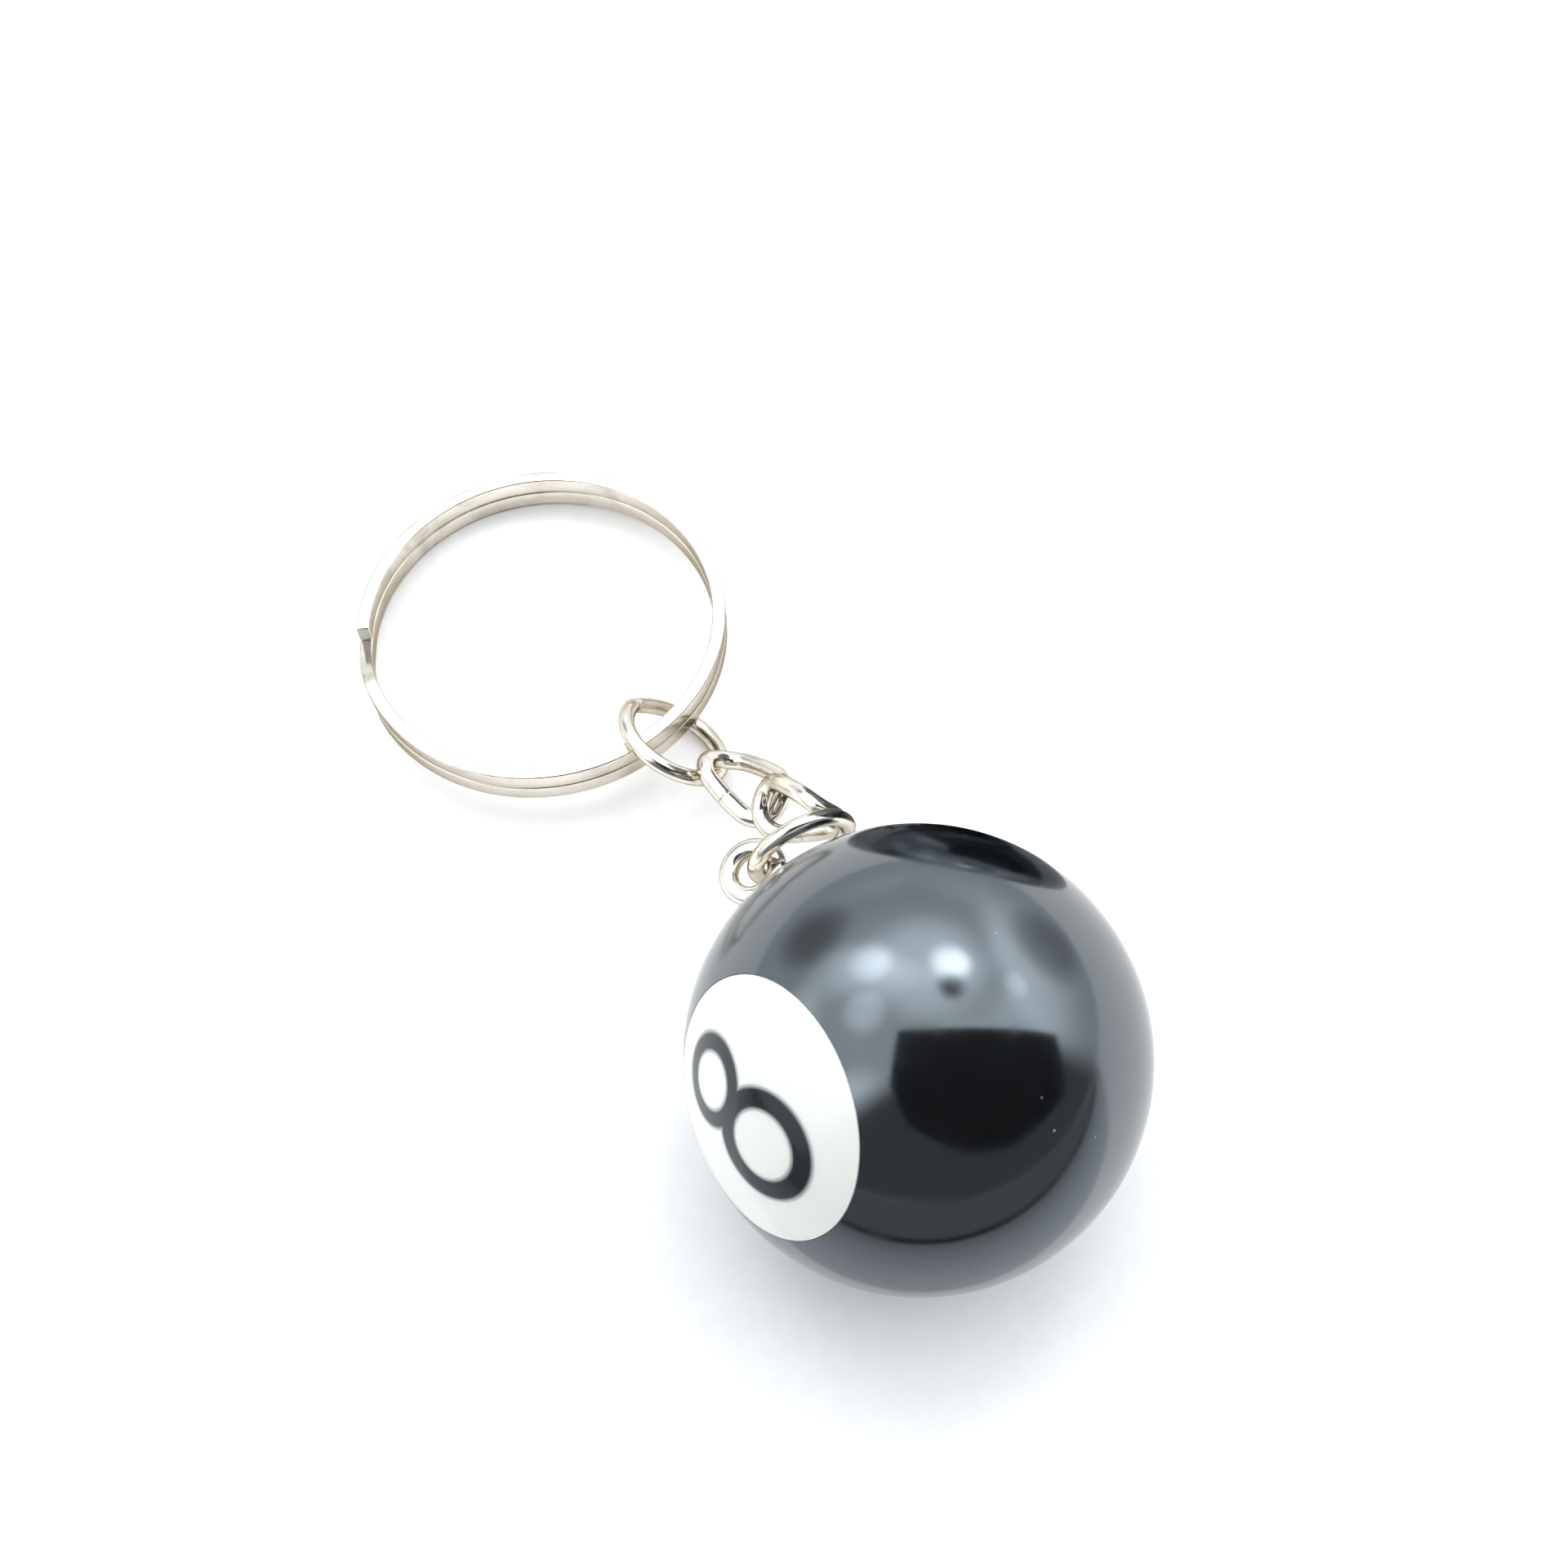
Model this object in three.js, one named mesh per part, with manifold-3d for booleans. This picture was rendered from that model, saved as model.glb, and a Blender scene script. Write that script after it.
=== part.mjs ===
// Eight-ball key ring, lying on a flat surface. Millimetres, +Z up.
// The ball is at +X, the split ring at -X, and the numbered face looks towards -Y and up.
// The origin is on the surface, under the middle of the whole length.
import * as THREE from 'three';
import { mergeVertices } from 'three/addons/utils/BufferGeometryUtils.js';
import Module from 'manifold-3d';

const wasm = await Module();
wasm.setup();

// ---------- driving dimensions ----------
// ball and its inlays
const BALL_R = 12.5;
const DISC_R = 6.8; // white number disc
const DISC_BACK = 9.5; // its flat back, from the ball's centre
const NUMERAL_DEPTH = 0.5; // how far the numeral is let into the disc
const INLAY_GAP = 0.1; // round every inlay
const LOWER_LOOP = { y: -1.95, outer: 3.05, inner: 1.8 }; // the figure 8 is two rings that overlap
const UPPER_LOOP = { y: 2.6, outer: 2.5, inner: 1.42 };

// screw eye
const EYE_R = 1.5; // middle of its wire
const EYE_WIRE = 1.15; // wire diameter
const EYE_OUT = 15.5; // the eye's centre, from the ball's centre
const NECK_R = 0.8;
const FLANGE_R = 1.7;
const FLANGE_THICK = 0.5;
const SHANK_R = 0.9; // over the thread's crests
const THREAD_DEPTH = 0.2;
const THREAD_PITCH = 0.8;
const SHANK_LENGTH = 7.2;
const THREAD_LENGTH = 6.2; // from the tip
const HOLE_GAP = 0.15; // drilled hole round the shank

// jump rings and chain links
const JUMP_WIRE = 1.0;
const LOWER_JUMP_R = 2.95; // middle of the wire
const UPPER_JUMP_R = 3.35;
const SEAM_GAP = 0.1; // butt joint of a jump ring
const LINK_WIRE = 1.15;
const LINK_LENGTH = 5.85; // middle of the wire
const LINK_END_R = 1.6;
const LINK_TWIST = THREE.MathUtils.degToRad(75);

// split ring: a flat strip wound twice round, the two turns in flat layers
const RING_OUTER_R = 12.0;
const RING_INNER_R = 11.15;
const STRIP_THICK = 1.22;
const TURN_GAP = 0.06;
const RING_START = -123; // degrees round the ring, where the upper layer's end is
const CROSSOVER = 22; // degrees in which the strip drops from one layer to the other
const END_GAP = 5; // degrees between the lower layer's end and the crossover

// ---------- rest pose ----------
// Each piece: its centre, then the azimuth and slope of its long axis and the roll round it, in degrees.
// x is measured from the ball's centre and z from the surface.
const BALL_TURN = { tilt: -102, roll: 30 }; // shank below level, number facing up
const EYE_ROLL = 42; // the eye's hole faces mostly up
const POSE = {
  lower_jump_ring: { centre: [-14.66, 3.11, 9.45], azimuth: 80, slope: -1, roll: -92 },
  chain_link_2: { centre: [-17.55, 4.92, 7.44], azimuth: -153, slope: -33, roll: 112 },
  chain_link_1: { centre: [-22.25, 4.35, 4.22], azimuth: -172, slope: -14, roll: 7 },
  upper_jump_ring: { centre: [-27.84, 2.88, 2.7], azimuth: -169.7, slope: 4, roll: 40.3 },
};
const RING_POSE = { centre: [-39.98, 0.85, 0.8], tilt: 3.6 }; // the chain's side is held up by the jump ring

// ---------- fineness ----------
const BALL_SEGMENTS = 48;
const BALL_RINGS = 24;
const DISC_SEGMENTS = 36;
const HOLE_SEGMENTS = 24;
const STEM_SEGMENTS = 16;
const EYE_SIDES = 12;
const EYE_STEPS = 36;
const WIRE_SIDES = 10; // even
const JUMP_STEPS = 40;
const LINK_STEPS = 48;
const NUMERAL_SEGMENTS = 24;
const STRIP_STEP = 7.5; // degrees

// ---------- materials ----------
const black = new THREE.MeshStandardMaterial({ color: 0x0b0c0f, roughness: 0.08, metalness: 0 });
const ivory = new THREE.MeshStandardMaterial({ color: 0xf1f1ea, roughness: 0.15, metalness: 0 });
const ink = new THREE.MeshStandardMaterial({ color: 0x1b1e22, roughness: 0.2, metalness: 0 });
const nickel = new THREE.MeshStandardMaterial({ color: 0xd9d3c6, roughness: 0.2, metalness: 1 });

const rad = THREE.MathUtils.degToRad;

// ---------- solids ----------
function toSolid(geometry) {
  const bare = geometry.clone();
  bare.deleteAttribute('normal');
  bare.deleteAttribute('uv');
  const merged = mergeVertices(bare, 1e-4);
  const mesh = new wasm.Mesh({
    numProp: 3,
    vertProperties: new Float32Array(merged.attributes.position.array),
    triVerts: new Uint32Array(merged.index.array),
  });
  return new wasm.Manifold(mesh);
}

function toGeometry(solid) {
  const mesh = solid.getMesh();
  const geometry = new THREE.BufferGeometry();
  geometry.setAttribute('position', new THREE.BufferAttribute(mesh.vertProperties, 3));
  geometry.setIndex(new THREE.BufferAttribute(mesh.triVerts, 1));
  geometry.computeVertexNormals();
  return geometry;
}

// A round bar along +Z, from its foot up.
function bar(radius, foot, height, segments) {
  const geometry = new THREE.CylinderGeometry(radius, radius, height, segments);
  geometry.rotateX(Math.PI / 2);
  geometry.translate(0, 0, foot + height / 2);
  return geometry;
}

// A sphere whose poles are where the numbers are, on the Z axis.
function sphere(radius) {
  const geometry = new THREE.SphereGeometry(radius, BALL_SEGMENTS, BALL_RINGS);
  geometry.rotateX(Math.PI / 2);
  return geometry;
}

// ---------- ball, in the frame of one number: +Z out through it, +Y the number's top ----------
const REACH = BALL_R * 1.2; // past the surface

// The figure 8 as a prism along +Z, its strokes made wider all round by grow.
function figureEight(foot, grow) {
  const loops = [LOWER_LOOP, UPPER_LOOP];
  const height = REACH - foot;
  const outer = loops.map((loop) => {
    const disc = bar(loop.outer + grow, foot, height, NUMERAL_SEGMENTS);
    return toSolid(disc.translate(0, loop.y, 0));
  });
  const holes = loops.map((loop) => {
    const hole = bar(loop.inner - grow, foot - 1, height + 2, NUMERAL_SEGMENTS);
    return toSolid(hole.translate(0, loop.y, 0));
  });
  return outer[0].add(outer[1]).subtract(holes[0]).subtract(holes[1]);
}

const ballSphere = toSolid(sphere(BALL_R));

function numeralSolid() {
  const inside = toSolid(sphere(BALL_R - NUMERAL_DEPTH));
  return figureEight(0, 0).intersect(ballSphere).subtract(inside);
}

function discSolid() {
  const plug = toSolid(bar(DISC_R, DISC_BACK, REACH - DISC_BACK, DISC_SEGMENTS));
  const inside = toSolid(sphere(BALL_R - NUMERAL_DEPTH - INLAY_GAP));
  const recess = figureEight(0, INLAY_GAP).subtract(inside);
  return plug.intersect(ballSphere).subtract(recess);
}

function ballSolid() {
  const back = DISC_BACK - INLAY_GAP;
  const pocket = bar(DISC_R + INLAY_GAP, back, REACH - back, DISC_SEGMENTS);
  const opposite = pocket.clone().rotateY(Math.PI);
  const depth = SHANK_LENGTH + HOLE_GAP;
  const drilled = bar(SHANK_R + HOLE_GAP, BALL_R - depth, REACH - BALL_R + depth, HOLE_SEGMENTS);
  drilled.rotateX(-Math.PI / 2); // the hole is at the number's top
  return [pocket, opposite, drilled].reduce((ball, cut) => ball.subtract(toSolid(cut)), ballSphere);
}

// ---------- screw eye: +Z out of the ball, the eye round the Y axis ----------
function screwEyeSolid() {
  const tip = BALL_R - SHANK_LENGTH;
  const flange = BALL_R + HOLE_GAP;
  const core = SHANK_R - THREAD_DEPTH;
  const outline = [[0, tip], [core - THREAD_DEPTH, tip]];
  for (let z = tip + THREAD_PITCH / 2; z < tip + THREAD_LENGTH; z += THREAD_PITCH) {
    outline.push([core, z], [SHANK_R, z + THREAD_PITCH / 2]);
  }
  outline.push([core, tip + THREAD_LENGTH], [core, flange]);
  outline.push([FLANGE_R, flange], [FLANGE_R, flange + FLANGE_THICK / 2]);
  outline.push([NECK_R, flange + FLANGE_THICK], [NECK_R, EYE_OUT - EYE_R], [0, EYE_OUT - EYE_R]);
  const stem = new THREE.LatheGeometry(outline.map(([r, z]) => new THREE.Vector2(r, z)), STEM_SEGMENTS);
  stem.rotateX(Math.PI / 2); // the lathe's axis Y becomes Z
  const eye = new THREE.TorusGeometry(EYE_R, EYE_WIRE / 2, EYE_SIDES, EYE_STEPS);
  eye.rotateX(Math.PI / 2);
  eye.translate(0, 0, EYE_OUT);
  return toSolid(stem).add(toSolid(eye));
}

// ---------- jump rings and links: in the XY plane, long axis X, +X away from the ball ----------
class OpenRing extends THREE.Curve {
  constructor(radius, gap) {
    super();
    this.radius = radius;
    this.start = gap / radius / 2;
  }

  getPoint(t, target = new THREE.Vector3()) {
    const angle = this.start + t * 2 * (Math.PI - this.start);
    return target.set(this.radius * Math.cos(angle), this.radius * Math.sin(angle), 0);
  }
}

function wireSection(diameter) {
  const section = new THREE.Shape();
  section.absarc(0, 0, diameter / 2, 0, 2 * Math.PI);
  return section;
}

// The butt seam is at +X.
function jumpRing(radius) {
  return new THREE.ExtrudeGeometry(wireSection(JUMP_WIRE), {
    steps: JUMP_STEPS,
    curveSegments: WIRE_SIDES / 2,
    extrudePath: new OpenRing(radius, SEAM_GAP),
  });
}

// A link's middle line: two half circles joined by straights, twisted along X. It goes twice
// over one half: round the +X end and along a straight, then the same mirrored through the centre.
class TwistedLink extends THREE.Curve {
  getPoint(t, target = new THREE.Vector3()) {
    const straight = LINK_LENGTH / 2 - LINK_END_R; // half of it
    const bend = Math.PI * LINK_END_R;
    const halfWay = bend + 2 * straight;
    const along = (t % 1) * 2 * halfWay;
    const side = along < halfWay ? 1 : -1;
    const way = along % halfWay;
    const angle = Math.min(way, bend) / LINK_END_R - Math.PI / 2;
    const x = side * (straight + LINK_END_R * Math.cos(angle) - Math.max(way - bend, 0));
    const y = side * LINK_END_R * Math.sin(angle);
    const twist = (LINK_TWIST / 2) * (x / (LINK_LENGTH / 2));
    return target.set(x, y * Math.cos(twist), y * Math.sin(twist));
  }
}

function chainLink() {
  return new THREE.TubeGeometry(new TwistedLink(), LINK_STEPS, LINK_WIRE / 2, WIRE_SIDES, true);
}

// ---------- split ring: axis Z, lying on its lower face ----------
function layerHeight(wound) {
  const top = STRIP_THICK + TURN_GAP;
  const drop = (wound - (360 - CROSSOVER)) / CROSSOVER;
  return top * (1 - THREE.MathUtils.smoothstep(drop, 0, 1));
}

function splitRing() {
  const wound = 720 - CROSSOVER - END_GAP;
  const steps = Math.round(wound / STRIP_STEP);
  const positions = [];
  const faces = [];
  for (let i = 0; i <= steps; i += 1) {
    const turned = (wound * i) / steps;
    const angle = rad(RING_START - turned);
    const low = layerHeight(turned);
    const corners = [
      [RING_INNER_R, low],
      [RING_OUTER_R, low],
      [RING_OUTER_R, low + STRIP_THICK],
      [RING_INNER_R, low + STRIP_THICK],
    ];
    corners.forEach(([r, z]) => positions.push(r * Math.cos(angle), r * Math.sin(angle), z));
  }
  for (let i = 0; i < steps; i += 1) {
    for (let k = 0; k < 4; k += 1) {
      const a = 4 * i + k;
      const b = 4 * i + ((k + 1) % 4);
      faces.push(a, b + 4, a + 4, a, b, b + 4);
    }
  }
  const last = 4 * steps;
  faces.push(0, 2, 1, 0, 3, 2, last, last + 1, last + 2, last, last + 2, last + 3);
  const geometry = new THREE.BufferGeometry();
  geometry.setAttribute('position', new THREE.Float32BufferAttribute(positions, 3));
  geometry.setIndex(faces);
  return geometry;
}

// ---------- assembly ----------
// The far end is the split ring's upper rim, because the ring leans outwards.
const RING_HEIGHT = 2 * STRIP_THICK + TURN_GAP;
const LEAN = rad(RING_POSE.tilt);
const FAR_END = RING_POSE.centre[0] - RING_OUTER_R * Math.cos(LEAN) - RING_HEIGHT * Math.sin(LEAN);
const MIDDLE = (FAR_END + BALL_R) / 2;

function named(name, geometry, material) {
  const mesh = new THREE.Mesh(geometry, material);
  mesh.name = name;
  return mesh;
}

function ballGroup() {
  const ball = new THREE.Group(); // the shank's direction is +Z, the front number faces -Y
  ball.position.set(0, 0, BALL_R);
  ball.rotateY(rad(BALL_TURN.tilt));
  ball.rotateZ(rad(BALL_TURN.roll));
  ['front', 'back'].forEach((side, i) => {
    const face = new THREE.Group();
    face.rotateZ(i * Math.PI);
    face.rotateX(Math.PI / 2);
    face.add(named(`number_disc_${side}`, toGeometry(discSolid()), ivory));
    face.add(named(`numeral_${side}`, toGeometry(numeralSolid()), ink));
    if (side === 'front') {
      face.add(named('ball_body', toGeometry(ballSolid()), black));
    }
    ball.add(face);
  });
  const eye = named('screw_eye', toGeometry(screwEyeSolid()), nickel);
  eye.rotateZ(rad(EYE_ROLL));
  ball.add(eye);
  return ball;
}

function chainPiece(name, geometry) {
  const { centre, azimuth, slope, roll } = POSE[name];
  const mesh = named(name, geometry, nickel);
  mesh.position.set(...centre);
  mesh.rotateZ(rad(azimuth));
  mesh.rotateY(-rad(slope));
  mesh.rotateX(rad(roll));
  return mesh;
}

const keyRing = new THREE.Group();
keyRing.position.x = -MIDDLE;
keyRing.add(ballGroup());
keyRing.add(chainPiece('lower_jump_ring', jumpRing(LOWER_JUMP_R)));
keyRing.add(chainPiece('chain_link_2', chainLink()));
keyRing.add(chainPiece('chain_link_1', chainLink()));
keyRing.add(chainPiece('upper_jump_ring', jumpRing(UPPER_JUMP_R)));
const ring = named('split_ring', splitRing(), nickel);
ring.position.set(...RING_POSE.centre);
ring.rotateY(-rad(RING_POSE.tilt));
keyRing.add(ring);

export default keyRing;
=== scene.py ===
# The looks of a key ring with a small eight-ball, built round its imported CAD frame.
# Everything is in metres. Pieces stand where the CAD nodes are, which the frame's meshes give.
import math

import bmesh
import bpy
import numpy as np
from mathutils import Matrix, Vector


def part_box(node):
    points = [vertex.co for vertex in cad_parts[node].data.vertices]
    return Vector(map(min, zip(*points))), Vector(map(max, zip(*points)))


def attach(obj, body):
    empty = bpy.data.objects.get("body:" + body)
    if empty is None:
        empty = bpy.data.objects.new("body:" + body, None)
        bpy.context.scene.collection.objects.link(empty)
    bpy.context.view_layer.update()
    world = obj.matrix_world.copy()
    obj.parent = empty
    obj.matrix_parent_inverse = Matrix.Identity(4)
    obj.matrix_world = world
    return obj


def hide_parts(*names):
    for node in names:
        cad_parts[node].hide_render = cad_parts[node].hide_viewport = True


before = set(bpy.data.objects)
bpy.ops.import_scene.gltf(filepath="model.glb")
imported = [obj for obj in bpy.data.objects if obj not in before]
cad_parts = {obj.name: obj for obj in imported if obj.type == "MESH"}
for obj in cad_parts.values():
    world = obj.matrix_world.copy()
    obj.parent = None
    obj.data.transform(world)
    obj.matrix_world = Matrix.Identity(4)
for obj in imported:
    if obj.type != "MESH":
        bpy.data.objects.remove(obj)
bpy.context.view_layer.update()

MM = 0.001

# ---------- sizes ----------
# ball and its inlays
BALL_R = 12.5 * MM
DISC_R = 6.84 * MM
DISC_BACK = 9.5 * MM  # its flat back, from the ball's centre
SEAM = 0.03 * MM  # between the disc and the ball
SEAM_FILLET = 0.03 * MM
NUMERAL_DEPTH = 0.5 * MM
LOWER_LOOP = (-1.95 * MM, 3.05 * MM, 1.8 * MM)  # height of its centre, outer and inner radius
UPPER_LOOP = (2.6 * MM, 2.5 * MM, 1.42 * MM)
INK_GAP = 0.01 * MM  # round the figure in its recess

# screw eye and its hole
HOLE_R = 1.0 * MM
COUNTERSINK_R = 1.4 * MM
SHANK_R = 0.9 * MM
THREAD_DEPTH = 0.2 * MM
THREAD_PITCH = 0.8 * MM
SHANK_LENGTH = 7.2 * MM
FLANGE_R = 1.7 * MM
FLANGE_THICK = 0.5 * MM
FLANGE_OUT = 12.62 * MM  # its foot, from the ball's centre
NECK_R = 0.75 * MM
EYE_R = 1.5 * MM  # of the middle of its wire
EYE_WIRE = 1.15 * MM
EYE_CENTRE_OUT = 15.5 * MM  # from the ball's centre

# jump rings and chain links
JUMP_WIRE = 1.0 * MM
LOWER_JUMP_R = 2.95 * MM  # of the middle of the wire
UPPER_JUMP_R = 3.35 * MM
SEAM_GAP = 0.07 * MM
LINK_WIRE = 1.12 * MM
LINK_LENGTH = 5.85 * MM
LINK_END_R = 1.6 * MM
LINK_STRAIGHT = LINK_LENGTH / 2 - LINK_END_R  # from the middle to where an end's bend starts
LINK_BEND = math.pi * LINK_END_R
LINK_HALF = LINK_BEND + 2 * LINK_STRAIGHT  # half the way round a link
LINK_TWIST = math.radians(75)
WIRE_SIDES = 28

# split ring: a flat strip wound twice round, in two layers
RING_OUTER_R = 12.0 * MM
RING_INNER_R = 11.15 * MM
STRIP_THICK = 1.22 * MM
TURN_GAP = 0.06 * MM
STRIP_EDGE_R = 0.09 * MM
STRIP_CROWN = 0.02 * MM
RING_START = -123.0  # degrees round the ring, where the upper turn's end is
CROSSOVER = 22.0  # degrees in which the strip drops from one layer to the other
END_GAP = 5.0  # degrees between the lower turn's end and the crossover

# the camera, from the point that the ball stands on
HEADING = math.radians(54)  # it looks this way round from +Y
ELEVATION = math.radians(63.38)  # and down by this much
CAMERA_AT = Vector((-7.12, -35.9, 116.7)) * MM  # to its right, ahead and up
LENS = 46.875


# ---------- where the CAD nodes are ----------
def points_of(node):
    return np.array([v.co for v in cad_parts[node].data.vertices], float)


def middle_of(node):
    low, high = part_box(node)
    return (low + high) / 2


def placing(centre, x, z):
    """A matrix with that origin, X and Z. X is turned square to Z."""
    z = z.normalized()
    x = (x - x.dot(z) * z).normalized()
    axes = Matrix((x, z.cross(x), z)).transposed()
    return Matrix.Translation(centre) @ axes.to_4x4()


def place_of(node, towards=None):
    """A CAD loop's placing matrix: Z square to its plane and upwards, and X along its longest spread,
    or for a round ring, which has no longest, in the direction towards."""
    points = points_of(node)
    centre = points.mean(0)
    longest, _, square = np.linalg.svd(points - centre, full_matrices=False)[2]
    upwards = Vector(square if square[2] > 0 else -square)
    matrix = placing(Vector(centre), towards or Vector(longest), upwards)
    inside = (points - centre) @ np.array(matrix.to_3x3())
    return matrix @ Matrix.Translation((inside.min(0) + inside.max(0)) / 2)


BALL_CENTRE = (middle_of("number_disc_front") + middle_of("number_disc_back")) / 2
NUMBER_AXIS = middle_of("number_disc_front") - BALL_CENTRE
SHANK_AXIS = (Vector(points_of("screw_eye").mean(0)) - BALL_CENTRE).normalized()
# A number's frame: Z out through it, Y its top, which is where the screw eye is.
NUMBER_PLACE = placing(BALL_CENTRE, SHANK_AXIS.cross(NUMBER_AXIS), NUMBER_AXIS)


# ---------- mesh making ----------
SHARP = math.radians(35)  # faces that meet at more than this keep a hard edge


def new_object(name, data):
    """A new object in the scene."""
    obj = bpy.data.objects.new(name, data)
    bpy.context.scene.collection.objects.link(obj)
    return obj


def mesh_of(name, verts, faces):
    mesh = bpy.data.meshes.new(name)
    mesh.from_pydata([tuple(v) for v in verts], [], faces)
    return mesh


def lathe(profile, segments):
    """A closed solid turned round Z from (radius, height) points, first and last on the axis.
    The profile runs from the top down on the outside."""
    verts = []
    rows = []
    for r, z in profile:
        if r < 1e-9:
            rows.append([len(verts)] * segments)
            verts.append((0, 0, z))
            continue
        rows.append(range(len(verts), len(verts) + segments))
        for i in range(segments):
            a = 2 * math.pi * i / segments
            verts.append((r * math.cos(a), r * math.sin(a), z))
    faces = []
    for upper, lower in zip(rows, rows[1:]):
        for i in range(segments):
            j = (i + 1) % segments
            corners = [upper[j], upper[i], lower[i], lower[j]]
            faces.append(list(dict.fromkeys(corners)))
    return verts, faces


def make(name, verts, faces, place=Matrix.Identity(4)):
    mesh = mesh_of(name, verts, faces)
    mesh.transform(place)
    tidy_normals(mesh)
    return new_object(name, mesh)


def tidy_normals(mesh, merge=True):
    """Faces outwards and smooth shading up to the sharp edges. merge joins points in one place."""
    bm = bmesh.new()
    bm.from_mesh(mesh)
    if merge:
        bmesh.ops.remove_doubles(bm, verts=bm.verts, dist=1e-8)
    bmesh.ops.recalc_face_normals(bm, faces=bm.faces)
    bm.to_mesh(mesh)
    bm.free()
    mesh.shade_smooth()
    mesh.set_sharp_from_angle(angle=SHARP)


def combine(obj, other, operation):
    """Cuts, joins or crosses obj with other, which is used up."""
    modifier = obj.modifiers.new("combine", "BOOLEAN")
    modifier.operation = operation
    modifier.solver = "EXACT"
    modifier.object = other
    bpy.context.view_layer.update()
    result = obj.evaluated_get(bpy.context.evaluated_depsgraph_get())
    mesh = bpy.data.meshes.new_from_object(result)
    obj.modifiers.clear()
    obj.data = mesh
    bpy.data.objects.remove(other)
    tidy_normals(mesh)
    return obj


def polish(obj, centre, radius):
    """Exact normals where the surface is a sphere, so that its reflections run smooth across a cut."""
    mesh = obj.data
    away = 1e-3 * radius  # the most that a corner of such a face is off the sphere
    level = 0.99  # the least cosine between a face of the sphere and the way out
    normals = [(0, 0, 0)] * len(mesh.loops)
    for face in mesh.polygons:
        outward = (Vector(face.center) - centre).normalized()
        if face.normal.dot(outward) < level:
            continue
        for k in face.loop_indices:
            out = mesh.vertices[mesh.loops[k].vertex_index].co - centre
            if abs(out.length - radius) < away:
                normals[k] = tuple(out.normalized())
    mesh.normals_split_custom_set(normals)


def distances_round(points):
    """How far round a closed line each of its points is, in millimetres, and the whole way last."""
    steps = np.linalg.norm(np.diff(np.vstack([points, points[:1]]), axis=0), axis=1)
    return np.concatenate([[0], np.cumsum(steps)]) / MM


def sweep(name, centres, sides, ups, section, closed, place, scale=None, cut=0):
    """A bar of that section along the centres. section holds (side, up) points, and scale a
    (side, up) pair for each centre. The UV map runs along and round the bar, in millimetres. The
    ends of an open bar are marked as cut, with that many steps beside them."""
    n, m = len(centres), len(section)
    section = np.array(section)
    scale = np.ones((n, 2)) if scale is None else np.array(scale)
    verts = []
    for c, s, u, k in zip(centres, sides, ups, scale):
        ring = section * k
        verts.extend(c + np.outer(ring[:, 0], s) + np.outer(ring[:, 1], u))
    along, across = distances_round(centres), distances_round(section)
    faces, uvs = [], []
    for i in range(n if closed else n - 1):
        here, ahead = i * m, (i + 1) % n * m
        for k in range(m):
            beside = (k + 1) % m
            faces.append([here + k, ahead + k, ahead + beside, here + beside])
            corners = [(i, k), (i + 1, k), (i + 1, k + 1), (i, k + 1)]
            uvs.append([(along[a], across[b]) for a, b in corners])
    if not closed:
        for first in (0, (n - 1) * m):
            faces.append(list(range(first, first + m)))
            uvs.append([(p[0] / MM, p[1] / MM) for p in section])
    mesh = mesh_of(name, verts, faces)
    layer = mesh.uv_layers.new(name="along")
    layer.data.foreach_set("uv", np.array([uv for face in uvs for uv in face]).ravel())
    ends = mesh.attributes.new("cut_end", "FLOAT", "FACE")
    rough = [0.0 if closed or cut <= i // m < n - 1 - cut else 1.0 for i in range(len(faces))]
    ends.data.foreach_set("value", rough)
    mesh.transform(place)
    tidy_normals(mesh, merge=False)
    return new_object(name, mesh)


def circle_section(diameter):
    angles = np.arange(WIRE_SIDES) * 2 * math.pi / WIRE_SIDES
    return np.stack([np.cos(angles), np.sin(angles)], 1) * diameter / 2


def rounded_section(width, height, radius, crown, steps=4):
    """A bar with rounded corners, whose left and right faces swell by crown in their middles."""
    width -= 2 * crown
    points = []

    def swell(y):
        return crown * (1 - (2 * y / height) ** 2)

    for corner in range(4):
        cx = (width / 2 - radius) * (1 if corner in (0, 3) else -1)
        cy = (height / 2 - radius) * (1 if corner in (0, 1) else -1)
        for k in range(steps + 1):
            a = math.pi / 2 * (corner + k / steps)
            x, y = cx + radius * math.cos(a), cy + radius * math.sin(a)
            points.append((x + math.copysign(swell(y), cx), y))
        if corner in (1, 3):
            side = width / 2 * (1 if corner == 3 else -1)
            reach = (height / 2 - radius) * (1 if corner == 1 else -1)
            for y in np.linspace(reach, -reach, 2 * steps + 1)[1:-1]:
                points.append((side + math.copysign(swell(y), side), y))
    return points


def finish_piece(obj, material, body, node):
    obj.data.materials.clear()
    obj.data.materials.append(material)
    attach(obj, body)
    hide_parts(node)
    return obj


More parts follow.
